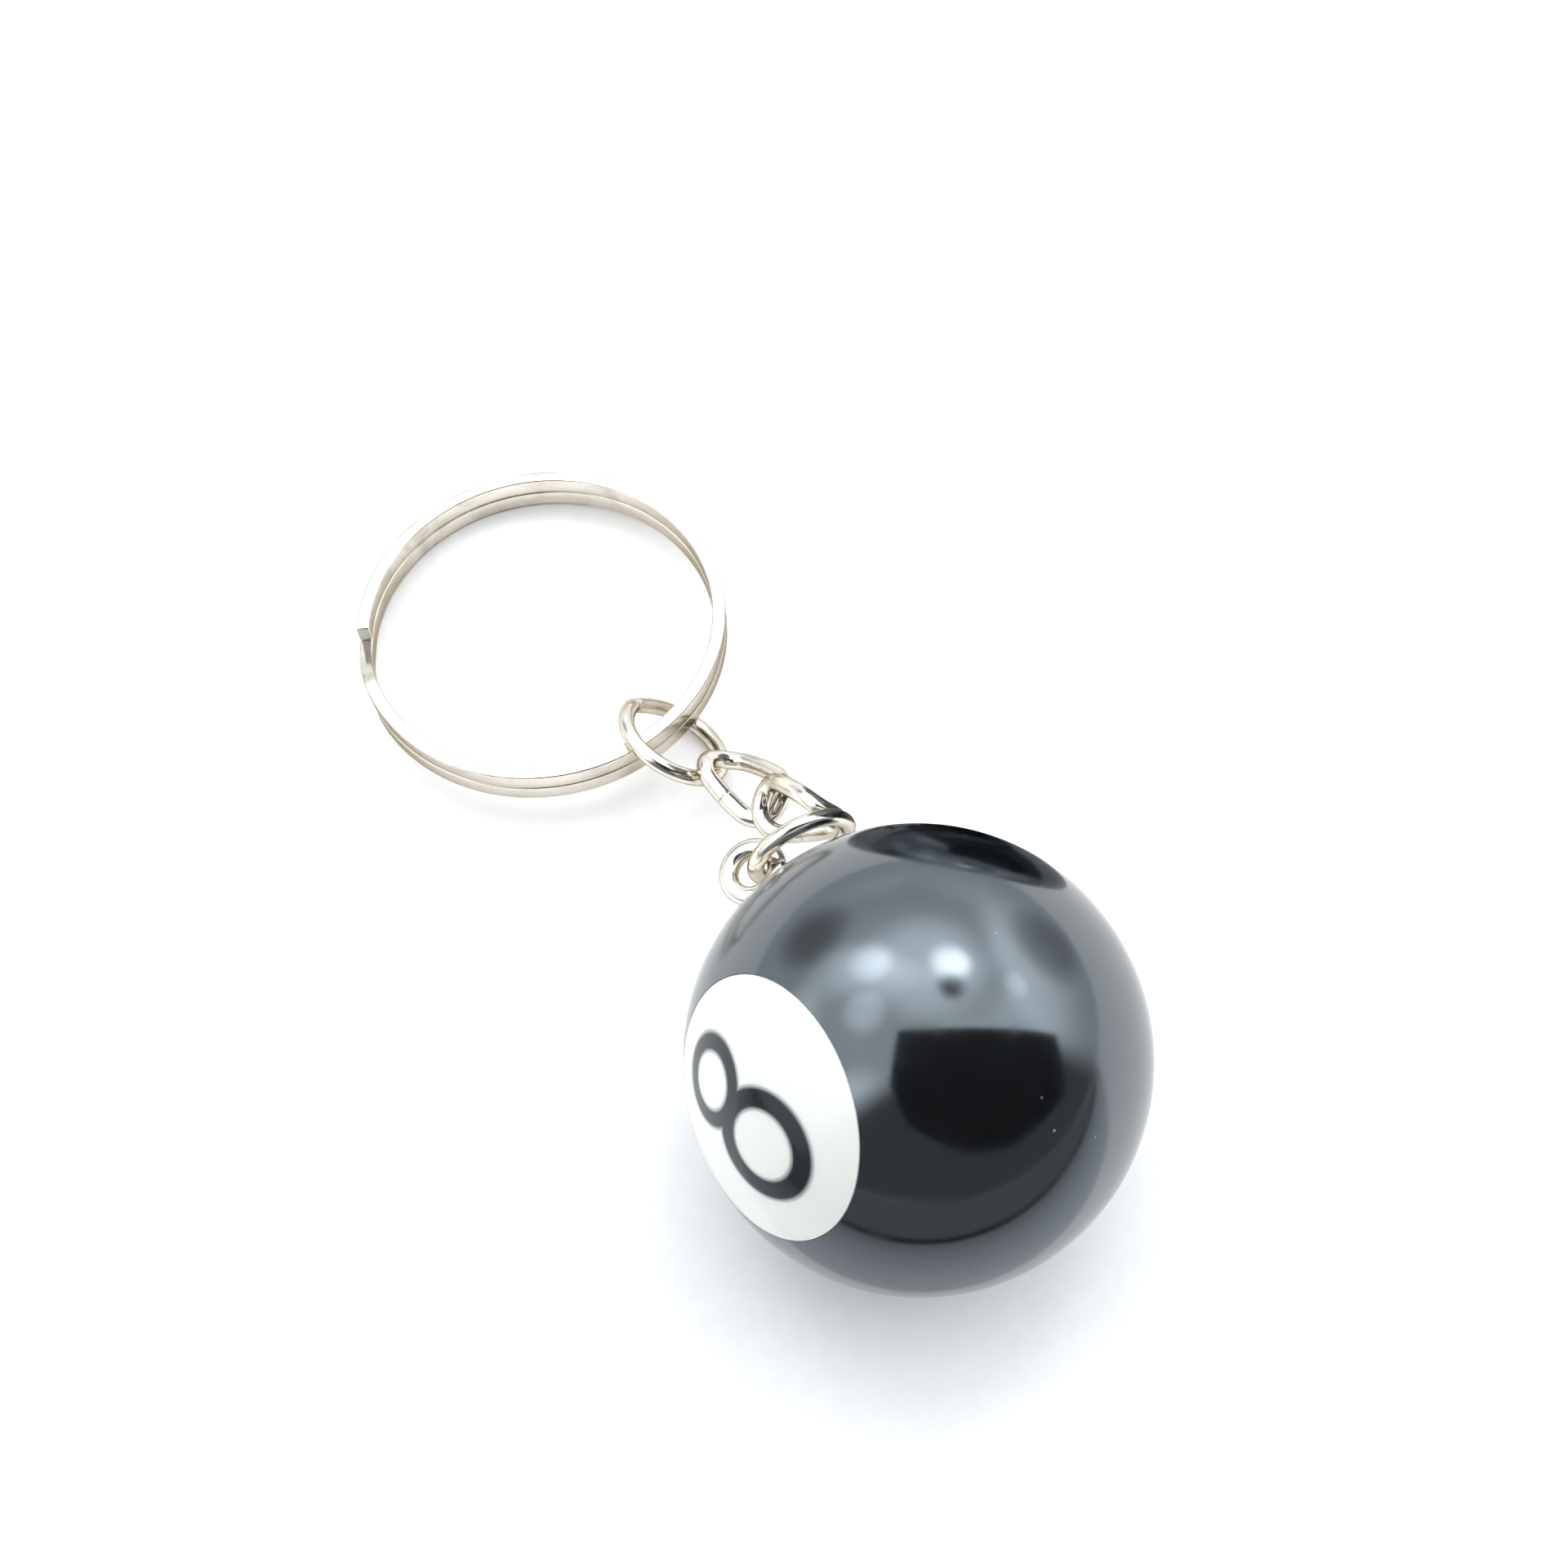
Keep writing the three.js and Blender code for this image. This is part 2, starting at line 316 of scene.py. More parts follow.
# ---------- materials ----------
class Nodes:
    """The node tree of a new material or of the world."""

    def __init__(self, owner):
        owner.use_nodes = True
        self.owner = owner
        self.tree = owner.node_tree

    def add(self, kind, inputs=(), output=0, **settings):
        """One output of a new node. inputs pairs a socket's name or number with a value or with
        another node's output."""
        node = self.tree.nodes.new("ShaderNode" + kind)
        for key, value in settings.items():
            setattr(node, key, value)
        for key, value in dict(inputs).items():
            self.put(node.inputs[key], value)
        return node.outputs[output]

    def put(self, socket, value):
        if isinstance(value, bpy.types.NodeSocket):
            self.tree.links.new(value, socket)
        else:
            socket.default_value = value

    def shade(self, **values):
        """Inputs of the material's Principled shader, with _ for the spaces in their names."""
        shader = self.tree.nodes["Principled BSDF"]
        for key, value in values.items():
            self.put(shader.inputs[key.replace("_", " ")], value)

    def math(self, operation, a, b=0.0):
        return self.add("Math", {0: a, 1: b}, operation=operation)

    def add_up(self, a, b):
        return self.math("ADD", a, b)

    def times(self, a, b):
        return self.math("MULTIPLY", a, b)

    def less(self, a, b):
        return self.math("SUBTRACT", a, b)

    def noise(self, vector, scale, detail=2.0, roughness=0.5):
        inputs = {"Vector": vector, "Scale": scale, "Detail": detail, "Roughness": roughness}
        return self.add("TexNoise", inputs)

    def ramp(self, value, low, high, to_low=0.0, to_high=1.0):
        inputs = {"Value": value, "From Min": low, "From Max": high, "To Min": to_low, "To Max": to_high}
        return self.add("MapRange", inputs, interpolation_type="SMOOTHSTEP")

    def mix(self, factor, a, b):
        return self.add("Mix", {"Factor": factor, "A": a, "B": b}, "Result", data_type="RGBA")

    def bump(self, height, distance, normal=None):
        inputs = {"Height": height, "Distance": distance, "Strength": 1.0}
        if normal is not None:
            inputs["Normal"] = normal
        return self.add("Bump", inputs)

    def spots(self, vector, scale, share, size):
        """Sparse round spots, in a share of the cells of a grid, as wide as size of a cell."""
        distance = self.add("TexVoronoi", {"Vector": vector, "Scale": scale}, "Distance")
        pick = self.add("SeparateColor", {"Color": distance.node.outputs["Color"]})
        few = self.math("GREATER_THAN", pick, 1 - share)
        return self.times(self.ramp(distance, size, size / 5), few)

    def place(self):
        """Where a point is on the piece at rest, in metres."""
        return self.add("TexCoord", output="Object")

    def attribute(self, name, output):
        return self.add("Attribute", output=output, attribute_name=name)

    def stretched(self, vector, scale):
        return self.add("Mapping", {"Vector": vector, "Scale": scale})


def new_material(name):
    return Nodes(bpy.data.materials.new(name))


def colour(red, green, blue):
    return (red, green, blue, 1)


# resin and ink
BLACK = colour(0.003, 0.0032, 0.0038)
DUST = colour(0.42, 0.43, 0.44)
COOL_GLOSS = colour(0.86, 0.95, 1.0)
WHITE = colour(0.79, 0.78, 0.72)
INK_STAIN = colour(0.5, 0.5, 0.5)
INK = colour(0.008, 0.008, 0.01)
PALE_INK = colour(0.02, 0.02, 0.023)
SOFT_EDGE = (-0.24, 0.12)  # mm inside and outside a stroke between which ink turns to white
STAIN_REACH = 0.5  # mm outside a stroke
# nickel plate
PLATE = colour(0.85, 0.79, 0.705)
TARNISH = colour(0.6, 0.545, 0.44)
DRAWN_LINE = colour(0.4, 0.36, 0.28)
PIT = colour(0.09, 0.075, 0.055)
CUT_STEEL = colour(0.62, 0.59, 0.53)


def resin(name, base, specks):
    """Polished cast resin: a little uneven, finely scratched, with dust where specks is above 0."""
    n = new_material(name)
    at = n.place()
    uneven = n.noise(at, 160)
    scratches = n.noise(n.stretched(at, (500, 9000, 2500)), 1, 3, 0.7)
    more_scratches = n.noise(n.stretched(at, (8000, 700, 1200)), 1, 3, 0.7)
    haze = n.noise(at, 420, 4, 0.6)
    scratch_depth = 0.00018 * MM
    surface = n.bump(uneven, 0.02 * MM)
    surface = n.bump(scratches, scratch_depth, surface)
    surface = n.bump(more_scratches, scratch_depth, surface)
    dust = n.times(n.spots(at, 800, 0.14, 0.1), specks)
    n.shade(
        Base_Color=n.mix(dust, base, DUST),
        Roughness=n.add_up(n.ramp(haze, 0.35, 0.75, 0.1, 0.16), dust),
        IOR=2.3,
        Specular_Tint=COOL_GLOSS,
        Normal=surface,
    )
    return n


def number_material(name):
    """White resin and black figure in one cast: the strokes' edges run softly into the white."""
    n = resin(name, WHITE, 0.15)
    place = n.add("SeparateXYZ", {0: n.attribute("number_place", "Vector")}).node
    distances = []
    for height, outer, inner in (LOWER_LOOP, UPPER_LOOP):
        across, up = place.outputs["X"], n.less(place.outputs["Y"], height / MM)
        reach = n.math("SQRT", n.add_up(n.math("POWER", across, 2), n.math("POWER", up, 2)))
        off = n.math("ABSOLUTE", n.less(reach, (outer + inner) / 2 / MM))
        distances.append(n.less(off, (outer - inner) / 2 / MM))
    outside = n.math("MINIMUM", *distances)
    white = n.ramp(outside, *SOFT_EDGE)
    stain = n.ramp(outside, STAIN_REACH, 0)
    ink = n.mix(n.noise(n.place(), 900, 3), INK, PALE_INK)
    cast = n.mix(n.times(stain, 0.12), WHITE, INK_STAIN)
    n.shade(
        Base_Color=n.mix(white, ink, cast),
        IOR=1.5,
        Subsurface_Weight=n.times(white, 0.25),
        Subsurface_Scale=0.5 * MM,
    )
    return n.owner


def nickel(name, lines):
    """Bright nickel plate over drawn steel: fine lines along it, soft dents, tarnish in patches,
    and coarse grey cut ends. lines is how strongly the drawing lines show."""
    n = new_material(name)
    at = n.place()
    uv = n.add("UVMap")
    drawn = n.noise(n.stretched(uv, (0.3, 8, 1)), 1, 5, 0.7)
    coarse = n.noise(n.stretched(uv, (0.12, 3, 1)), 1)
    dents = n.noise(at, 650)
    grain = n.noise(at, 6000, 3, 0.7)
    patches = n.noise(at, 330, 4, 0.6)
    cut = n.attribute("cut_end", "Fac")
    grind = n.noise(n.stretched(at, (9000, 2500, 5000)), 1, 3, 0.7)
    plate = n.mix(n.ramp(patches, 0.42, 0.75), PLATE, TARNISH)
    plate = n.mix(n.times(n.ramp(drawn, 0.55, 0.75), 0.7 * lines), plate, DRAWN_LINE)
    plate = n.mix(n.spots(at, 900, 0.25, 0.06), plate, PIT)
    surface = n.bump(dents, 0.03 * MM)
    surface = n.bump(coarse, 0.008 * MM * lines, surface)
    surface = n.bump(drawn, 0.0022 * MM * lines, surface)
    surface = n.bump(grain, 0.0004 * MM, surface)
    surface = n.bump(n.times(grind, cut), 0.02 * MM, surface)
    gloss = 0.1
    n.shade(
        Base_Color=n.mix(cut, plate, CUT_STEEL),
        Metallic=n.less(1.0, n.times(cut, 0.5)),
        Specular_Tint=DRAWN_LINE,  # darker and browner where seen along the surface
        Roughness=n.add_up(n.ramp(drawn, 0.3, 0.8, gloss, gloss + 0.2 * lines), n.times(cut, 0.25)),
        Normal=surface,
    )
    return n.owner


BLACK_RESIN = resin("black_resin", BLACK, 0.5).owner
NUMBER_RESIN = number_material("white_resin_black_ink")
WIRE_NICKEL = nickel("nickel_wire", 0.6)
STRIP_NICKEL = nickel("nickel_strip", 1.0)


# ---------- ball and numbers, in a number's frame ----------
BALL_SEGMENTS = 200
LOOP_SEGMENTS = 96


def on_sphere(radius):
    return math.sqrt(BALL_R ** 2 - radius ** 2)


def rim(radius, outward):
    """The rounded edge where a bore or plug of that radius meets the ball's surface, from the bore
    up when outward is 1, for the ball, and from the surface down when it is -1, for the disc."""
    edge = radius + SEAM_FILLET * outward
    top = on_sphere(edge)
    points = []
    for a in np.linspace(0, math.pi / 2, 5):
        inwards = SEAM_FILLET * math.sin(a)
        points.append((edge - outward * inwards, top - SEAM_FILLET * (1 - math.cos(a))))
    return points


def cap(radius, steps):
    """The sphere from its pole to that radius."""
    angles = np.linspace(0, math.asin(radius / BALL_R), steps)
    return [(BALL_R * math.sin(a), BALL_R * math.cos(a)) for a in angles]


def make_ball():
    """The ball with a pocket for each number, and the screw eye's hole at the numbers' top."""
    pocket = DISC_R + SEAM
    edge = rim(pocket, 1)
    start = math.asin(edge[0][0] / BALL_R)
    band = [(BALL_R * math.sin(a), BALL_R * math.cos(a)) for a in np.linspace(start, math.pi - start, 110)]
    top = [(0, DISC_BACK - SEAM), (pocket, DISC_BACK - SEAM)] + edge[::-1][:-1]
    bottom = [(r, -z) for r, z in reversed(top)]
    ball = make("resin_ball", *lathe(top + band + bottom, BALL_SEGMENTS), NUMBER_PLACE)
    tip = BALL_R - SHANK_LENGTH - SEAM
    above = BALL_R + MM
    sink = BALL_R - (COUNTERSINK_R - HOLE_R)
    drill = [(0, above), (COUNTERSINK_R + MM, above), (HOLE_R, sink), (HOLE_R, tip), (0, tip)]
    to_top = Matrix.Rotation(-math.pi / 2, 4, "X")
    combine(ball, make("drill", *lathe(drill, 48), NUMBER_PLACE @ to_top), "DIFFERENCE")
    polish(ball, BALL_CENTRE, BALL_R)
    return ball


def eight(name, low, high, grow):
    """The figure 8 as a prism between two heights, its strokes wider all round by grow."""
    loops = []
    for height, outer, inner in (LOWER_LOOP, UPPER_LOOP):
        profile = [(outer + grow, high), (outer + grow, low), (inner - grow, low), (inner - grow, high)]
        loops.append(make(name, *ring_prism(profile), Matrix.Translation((0, height, 0))))
    figure = combine(*loops, "UNION")
    for height, outer, inner in (LOWER_LOOP, UPPER_LOOP):
        radius = inner - grow
        profile = [(0, high + MM), (radius, high + MM), (radius, low - MM), (0, low - MM)]
        hole = make("hole", *lathe(profile, LOOP_SEGMENTS), Matrix.Translation((0, height, 0)))
        combine(figure, hole, "DIFFERENCE")
    return figure


def ring_prism(profile):
    """A closed ring turned round Z from a closed profile."""
    m = len(profile)
    verts, faces = [], []
    for i in range(LOOP_SEGMENTS):
        a = 2 * math.pi * i / LOOP_SEGMENTS
        verts.extend((r * math.cos(a), r * math.sin(a), z) for r, z in profile)
        here, ahead = i * m, (i + 1) % LOOP_SEGMENTS * m
        for k in range(m):
            beside = (k + 1) % m
            faces.append([here + k, here + beside, ahead + beside, ahead + k])
    return verts, faces


def keep_number_place(obj):
    """Stores each point's place in the number's frame, in millimetres, for the material."""
    points = np.array([v.co for v in obj.data.vertices]) / MM
    layer = obj.data.attributes.new("number_place", "FLOAT_VECTOR", "POINT")
    layer.data.foreach_set("vector", points.astype(np.float32).ravel())


def make_numbers():
    """The disc and its figure, once in the number's own frame, then placed on both sides."""
    low = on_sphere(LOWER_LOOP[1] - LOWER_LOOP[0]) - NUMERAL_DEPTH
    above = BALL_R + MM
    surface = cap(DISC_R - SEAM_FILLET, 60)
    profile = surface + rim(DISC_R, -1)[1:] + [(DISC_R, DISC_BACK), (0, DISC_BACK)]
    disc = make("disc", *lathe(profile, BALL_SEGMENTS))
    combine(disc, eight("recess", low, above, INK_GAP), "DIFFERENCE")
    figure = eight("figure", low + INK_GAP, above, 0)
    ball = make("ball_again", *lathe(cap(DISC_R, 60) + [(DISC_R, 0), (0, 0)], BALL_SEGMENTS))
    combine(figure, ball, "INTERSECT")
    kinds = [
        (disc, "white_disc_", "number_disc_", "white_resin"),
        (figure, "figure_8_", "numeral_", "black_ink"),
    ]
    half_turn = Matrix.Rotation(math.pi, 4, "Y")
    for side, place in (("front", NUMBER_PLACE), ("back", NUMBER_PLACE @ half_turn)):
        for source, name, node, slot in kinds:
            piece = new_object(name + side, source.data.copy())
            keep_number_place(piece)
            piece.data.transform(place)
            polish(piece, BALL_CENTRE, BALL_R)
            finish_piece(piece, NUMBER_RESIN, "ball", node + side)
    bpy.data.objects.remove(disc)
    bpy.data.objects.remove(figure)


finish_piece(make_ball(), BLACK_RESIN, "ball", "ball_body")
make_numbers()


# ---------- wire and strip ----------
def make_screw_eye():
    """Z is out of the ball, and the eye goes round Y."""
    points = points_of("screw_eye")
    far = points[(points - np.array(BALL_CENTRE)) @ np.array(SHANK_AXIS) > BALL_R + 2 * MM]
    flat = Vector(np.linalg.svd(far - far.mean(0), full_matrices=False)[2][2])
    place = placing(BALL_CENTRE, flat.cross(SHANK_AXIS), SHANK_AXIS)
    screw = make("screw_eye_piece", *screw_mesh(), place)
    angles = np.linspace(0, 2 * math.pi, 97)[:-1]
    sides = np.stack([np.cos(angles), 0 * angles, np.sin(angles)], 1)
    centres = sides * EYE_R + [0, 0, EYE_CENTRE_OUT]
    ups = np.tile([0, 1, 0], (len(angles), 1))
    eye = sweep("eye", centres, sides, ups, circle_section(EYE_WIRE), True, place)
    return combine(screw, eye, "UNION")


def screw_mesh():
    """The shank with its thread, the flange and the neck, which ends inside the eye's wire."""
    tip, core = BALL_R - SHANK_LENGTH, SHANK_R - THREAD_DEPTH
    thread_start, thread_end = tip + 0.1 * MM, BALL_R - MM
    any_radius = 0.5 * MM  # along the thread, which sets its own below
    rows = [(0, tip), (core * 0.6, tip)]
    rows += [(any_radius, z) for z in np.arange(tip + 0.12 * MM, thread_end, 0.05 * MM)]
    edge = 0.08 * MM
    rows += [(core, thread_end), (core, FLANGE_OUT), (FLANGE_R - edge, FLANGE_OUT)]
    rows += [(FLANGE_R - edge + edge * math.sin(a), FLANGE_OUT + edge - edge * math.cos(a))
             for a in np.linspace(0.3, math.pi / 2, 5)]
    top, neck_end = FLANGE_OUT + FLANGE_THICK, EYE_CENTRE_OUT - EYE_R
    rows += [(FLANGE_R, top - 0.2 * MM), (FLANGE_R - 0.06 * MM, top - 0.09 * MM)]
    rows += [(FLANGE_R - 0.22 * MM, top - 0.02 * MM), (NECK_R + 0.22 * MM, top + 0.06 * MM)]
    rows += [(NECK_R + 0.05 * MM, top + 0.2 * MM), (NECK_R, neck_end - 0.25 * MM)]
    rows += [(NECK_R + 0.06 * MM, neck_end), (0, neck_end)]
    verts, faces = lathe(rows[::-1], 40)
    fade_length = 0.5 * MM
    for i, (x, y, z) in enumerate(verts):
        if thread_start < z < thread_end - 0.01 * MM:
            angle = math.atan2(y, x)
            turn = (z / THREAD_PITCH - angle / (2 * math.pi)) % 1
            fade = min(1, (z - thread_start) / fade_length, (thread_end - z) / fade_length)
            r = core + THREAD_DEPTH * (1 - abs(2 * turn - 1)) * fade
            verts[i] = (r * math.cos(angle), r * math.sin(angle), z)
    return verts, faces


def jump_ring(node, radius, seam, point, offset):
    """An open ring of wire whose cut ends meet in the direction seam. point pulls the ends out,
    and offset puts one beside the other."""
    pinched = [(0, 0.7), (0.03, 0.86), (0.12, 0.93), (0.26, 0.97), (0.34, 1)]  # mm from the end, scale
    start = SEAM_GAP / radius / 2
    near = [start + d * MM / radius for d, _ in pinched]
    middle = np.linspace(near[-1], 2 * math.pi - near[-1], 150)[1:-1]
    angles = np.concatenate([near, middle, [2 * math.pi - a for a in reversed(near)]])
    taper = [k for _, k in pinched]
    scale = [(k, k) for k in taper + [1] * len(middle) + taper[::-1]]
    from_seam = np.minimum(angles, 2 * math.pi - angles)
    reach = radius + point * np.exp(-from_seam / math.radians(20))
    height = offset * np.exp(-(from_seam / math.radians(40)) ** 2) * np.sign(math.pi - angles)
    sides = np.stack([np.cos(angles), np.sin(angles), 0 * angles], 1)
    centres = sides * reach[:, None] + np.outer(height, [0, 0, 1])
    ups = np.tile([0, 0, 1], (len(angles), 1))
    section = circle_section(JUMP_WIRE)
    piece = sweep(node + "_wire", centres, sides, ups, section, False, place_of(node, seam), scale, 3)
    return finish_piece(piece, WIRE_NICKEL, node, node)


def link_point(way):
    """A point of a link's middle line, that way round it, and the normal of the link's plane there.
    Each half of the link is one end's bend and the straight after it."""
    side = 1 if way % (2 * LINK_HALF) < LINK_HALF else -1
    way = way % LINK_HALF
    angle = min(way, LINK_BEND) / LINK_END_R - math.pi / 2
    x = side * (LINK_STRAIGHT + LINK_END_R * math.cos(angle) - max(way - LINK_BEND, 0))
    y = side * LINK_END_R * math.sin(angle)
    twist = LINK_TWIST * x / LINK_LENGTH
    across, normal = (0, math.cos(twist), math.sin(twist)), (0, -math.sin(twist), math.cos(twist))
    return np.array([x, 0, 0]) + y * np.array(across), np.array(normal)


def chain_link(node):
    """A twisted link, whose butt joint is a groove midway along one side."""
    joint = LINK_BEND + LINK_STRAIGHT
    close = joint + np.array([-0.1, -0.05, -0.025, 0, 0.025, 0.05, 0.1]) * MM
    ways = np.linspace(0, 2 * LINK_HALF, 161)[:-1]
    ways = np.sort(np.concatenate([ways[np.abs(ways - joint) > 0.13 * MM], close]))
    step = 0.01 * MM
    centres, sides, ups = [], [], []
    for way in ways:
        centre, normal = link_point(way)
        along = link_point(way + step)[0] - link_point(way - step)[0]
        out = np.cross(along, normal)
        out /= np.linalg.norm(out)
        up = np.cross(out, along)
        centres.append(centre)
        sides.append(out)
        ups.append(up / np.linalg.norm(up))
    groove = 1 - 0.14 * np.exp(-((ways - joint) / (0.035 * MM)) ** 2)
    section, scale = circle_section(LINK_WIRE), np.stack([groove, groove], 1)
    piece = sweep(node + "_wire", centres, sides, ups, section, True, place_of(node), scale)
    return finish_piece(piece, WIRE_NICKEL, node, node)


def layer_height(wound):
    """The strip's foot at an angle along it: the upper layer, a smooth drop, the lower layer."""
    drop = min(max((wound - (360 - CROSSOVER)) / CROSSOVER, 0), 1)
    smooth = drop * drop * (3 - 2 * drop)
    return (STRIP_THICK + TURN_GAP) * (1 - smooth)


def split_ring():
    """The strip from its upper end, whose lower face stays, to its lower end, whose upper face stays."""
    wound = 720 - CROSSOVER - END_GAP
    middle = (RING_OUTER_R + RING_INNER_R) / 2
    # how an end is ground down: mm from the end, then the scales of width and thickness
    ground = [(0, 0.86, 0.86), (0.05, 0.95, 0.94), (0.12, 0.99, 0.98), (0.25, 1, 1)]
    ends = [math.degrees(d * MM / middle) for d, _, _ in ground]
    inner = np.linspace(ends[-1], wound - ends[-1], 280)[1:-1]
    turns = np.concatenate([ends, inner, [wound - e for e in reversed(ends)]])
    shape = [(w, h) for _, w, h in ground]
    scale = np.array(shape + [(1, 1)] * len(inner) + shape[::-1])
    angles = np.radians(RING_START - turns)
    sides = np.stack([np.cos(angles), np.sin(angles), 0 * angles], 1)
    feet = np.array([layer_height(t) for t in turns])
    half = scale[:, 1] / 2
    level = feet + STRIP_THICK * np.where(turns < wound / 2, half, 1 - half)
    centres = sides * middle + np.outer(level, [0, 0, 1])
    ups = np.tile([0, 0, 1], (len(turns), 1))
    section = rounded_section(RING_OUTER_R - RING_INNER_R, STRIP_THICK, STRIP_EDGE_R, STRIP_CROWN)
    to_foot = Matrix.Translation((0, 0, -STRIP_THICK - TURN_GAP / 2))
    place = place_of("split_ring", Vector((1, 0, 0))) @ to_foot
    piece = sweep("split_ring_strip", centres, sides, ups, section, False, place, scale, 1)
    return finish_piece(piece, STRIP_NICKEL, "split_ring", "split_ring")


finish_piece(make_screw_eye(), WIRE_NICKEL, "ball", "screw_eye")
jump_ring("lower_jump_ring", LOWER_JUMP_R, Vector((0.17, 0.98, -0.02)), 0.05 * MM, 0.02 * MM)
jump_ring("upper_jump_ring", UPPER_JUMP_R, Vector((-0.98, -0.18, 0.07)), 0.28 * MM, 0.06 * MM)
chain_link("chain_link_1")
chain_link("chain_link_2")
split_ring()


# ---------- floor, light and camera ----------
TO_HEADING = Matrix.Rotation(HEADING, 4, "Z")
STAND = Vector((BALL_CENTRE.x, BALL_CENTRE.y, 0))


def make_floor():
    half = 1.5
    corners = [(-half, -half, 0), (half, -half, 0), (half, half, 0), (-half, half, 0)]
    floor = new_object("floor", mesh_of("floor", corners, [(0, 1, 2, 3)]))
    n = new_material("floor")
    grain = n.noise(n.place(), 900, 4)
    n.shade(
        Base_Color=n.mix(n.ramp(grain, 0.3, 0.7), FLOOR, PALE_FLOOR),
        Roughness=0.9,
        Normal=n.bump(grain, 0.01 * MM),
    )
    floor.data.materials.append(n.owner)


def make_backdrop():
    """A white wall round the floor, which only the camera sees."""
    radius, height, segments = 1.45, 1.2, 96
    around = [2 * math.pi * i / segments for i in range(segments)]
    verts = [(radius * math.cos(a), radius * math.sin(a), z) for z in (0, height) for a in around]
    ahead = [(i + 1) % segments for i in range(segments)]
    faces = [(i, j, j + segments, i + segments) for i, j in enumerate(ahead)]
    wall = new_object("backdrop", mesh_of("backdrop", verts, faces))
    wall.visible_glossy = wall.visible_diffuse = wall.visible_shadow = False
    n = new_material("backdrop")
    n.shade(Base_Color=colour(0, 0, 0), Emission_Color=colour(1, 1, 1), Emission_Strength=1.0)
    wall.data.materials.append(n.owner)


def heading(azimuth, elevation):
    """A direction in the world, from degrees to the right of the camera's heading and degrees up."""
    a, e = math.radians(azimuth), math.radians(elevation)
    return TO_HEADING @ Vector((math.sin(a) * math.cos(e), math.cos(a) * math.cos(e), math.sin(e)))


def make_world():
    """A bright dome, uneven and with lamps in it, and a dark room behind the camera."""
    world = bpy.data.worlds.new("studio")
    bpy.context.scene.world = world
    n = Nodes(world)
    way = n.add("TexCoord", output="Generated")

    def towards(direction):
        """The cosine of the angle between the way that a ray goes and the direction."""
        return n.add("VectorMath", {0: way, 1: direction}, "Value", operation="DOT_PRODUCT")

    up = towards((0, 0, 1))
    dome = n.ramp(up, 0.0, 0.8, HORIZON, OVERHEAD)
    uneven = n.ramp(n.noise(way, 1.3, 1, 0.4), 0.38, 0.6, -0.4, 0.15)
    uneven = n.times(uneven, n.ramp(up, 0.05, 0.5))
    dome = n.times(dome, n.add_up(uneven, 1))
    for azimuth, elevation, width, strength in LAMPS:
        edge = math.cos(math.radians(width))
        dome = n.times(dome, n.ramp(towards(heading(azimuth, elevation)), edge, 1, 1, strength))
    room = n.ramp(towards(heading(160, 0)), 0.28, 0.5)
    background = n.tree.nodes["Background"]
    background.inputs["Color"].default_value = DAYLIGHT
    n.put(background.inputs["Strength"], n.add("Mix", {"Factor": room, "A": dome, "B": DARK_ROOM}))


def reflected_only(obj, material):
    """Marks something of the studio that is seen only in reflections, in the ball and the metal."""
    obj.visible_camera = obj.visible_diffuse = obj.visible_shadow = False
    obj.data.materials.append(material)


def dark_card(name, corners, grey):
    card = new_object(name, mesh_of(name, corners, [range(len(corners))]))
    n = new_material(name)
    n.shade(Base_Color=colour(grey, grey, grey), Roughness=1.0)
    reflected_only(card, n.owner)


def dark_neighbour():
    """Another black ball beyond this one, as beside it in the photograph."""
    angles = np.linspace(0, math.pi, 49)
    profile = [(BALL_R * math.sin(a), BALL_R * math.cos(a)) for a in angles]
    centre = STAND + TO_HEADING @ Vector((5.8 * MM, 26 * MM, BALL_R))
    reflected_only(make("neighbour", *lathe(profile, 96), Matrix.Translation(centre)), BLACK_RESIN)


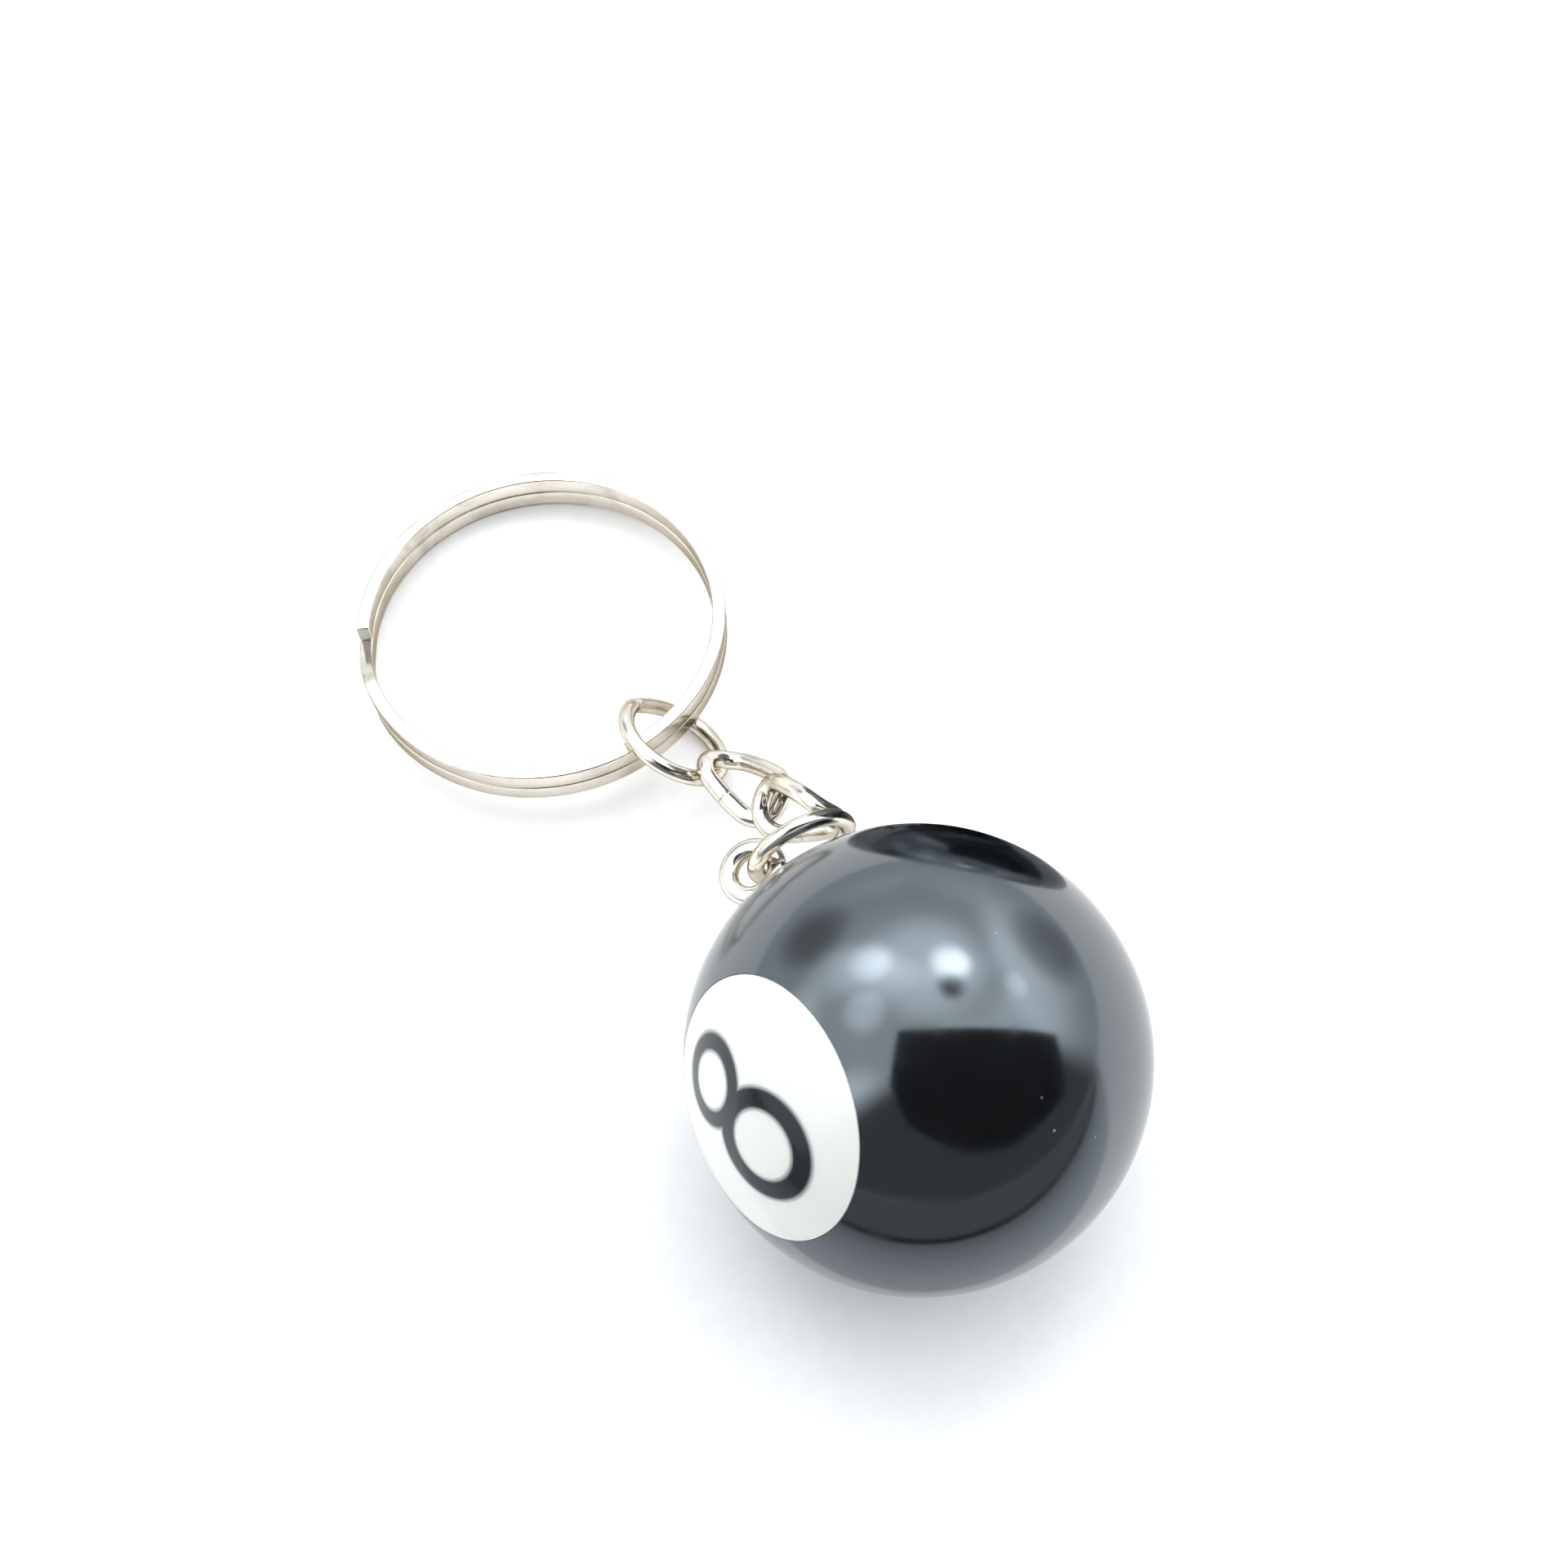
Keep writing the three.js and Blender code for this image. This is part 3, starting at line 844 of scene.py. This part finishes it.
def paint_table_shade():
    """Painted shade on the table on the camera's side, seen only in reflections: grey cards that darken
    further out, and a near-black band across them.
    """
    start, seam, seam_end, end = 0.015, 0.045, 0.052, 1.4  # metres from the ball
    half_width, skew, lift = 1.4, 0.3, 0.3 * MM
    # painted shade: these greys stand in for shadow on the table, from 0.62 near the ball down to 0.17 far
    # out; seam to seam_end is the near-black band
    edges = np.linspace(start, seam, 9)
    bands = [(near, far, 0.62 - 12 * (near - start)) for near, far in zip(edges, edges[1:])]
    bands += [(seam, seam_end, 0.02), (seam_end, end, 0.17)]
    for near, far, grey in bands:
        corners = [(-half_width, (skew - 1) * near), (half_width, (-skew - 1) * near)]
        corners += [(half_width, (-skew - 1) * far), (-half_width, (skew - 1) * far)]
        dark_card("shaded_table", [STAND + TO_HEADING @ Vector((x, y, lift)) for x, y in corners], grey)


def make_camera():
    data = bpy.data.cameras.new("camera")
    data.lens = LENS
    data.sensor_width = 36
    data.clip_start = MM
    camera = new_object("camera", data)
    tip_down = Matrix.Rotation(math.pi / 2 - ELEVATION, 4, "X")
    camera.matrix_world = Matrix.Translation(STAND) @ TO_HEADING @ Matrix.Translation(CAMERA_AT) @ tip_down
    bpy.context.scene.camera = camera


FLOOR = colour(0.93, 0.9, 0.865)
PALE_FLOOR = colour(0.95, 0.92, 0.885)
DAYLIGHT = colour(0.93, 0.985, 1.05)
HORIZON, OVERHEAD, DARK_ROOM = 1.0, 2.45, 0.2  # strengths
# brighter and darker patches of the dome: azimuth and elevation, half width in degrees, strength
LAMPS = [
    (-40, 54, 12, 1.7), (-82, 62, 12, 1.8), (26, 61, 11, 2.4), (66, 43, 7, 1.5), (5, 66, 32, 1.9),
    (42, 71, 8, 0.1), (-44, 20, 19, 0.4), (52, 16, 19, 0.45),
]
# the outline of the camera and the hand that holds it: azimuth and elevation from the ball
PHONE = [(-120, 76), (90, 27), (110, 14), (141, 17), (161, 24), (-171, 39), (-151, 55)]
PHONE_AWAY = 0.3  # metres

dark_card("phone", [BALL_CENTRE + heading(*way) * PHONE_AWAY for way in PHONE], 0.01)
paint_table_shade()
dark_neighbour()
make_floor()
make_backdrop()
make_world()
make_camera()
bpy.context.scene.view_settings.view_transform = "Standard"
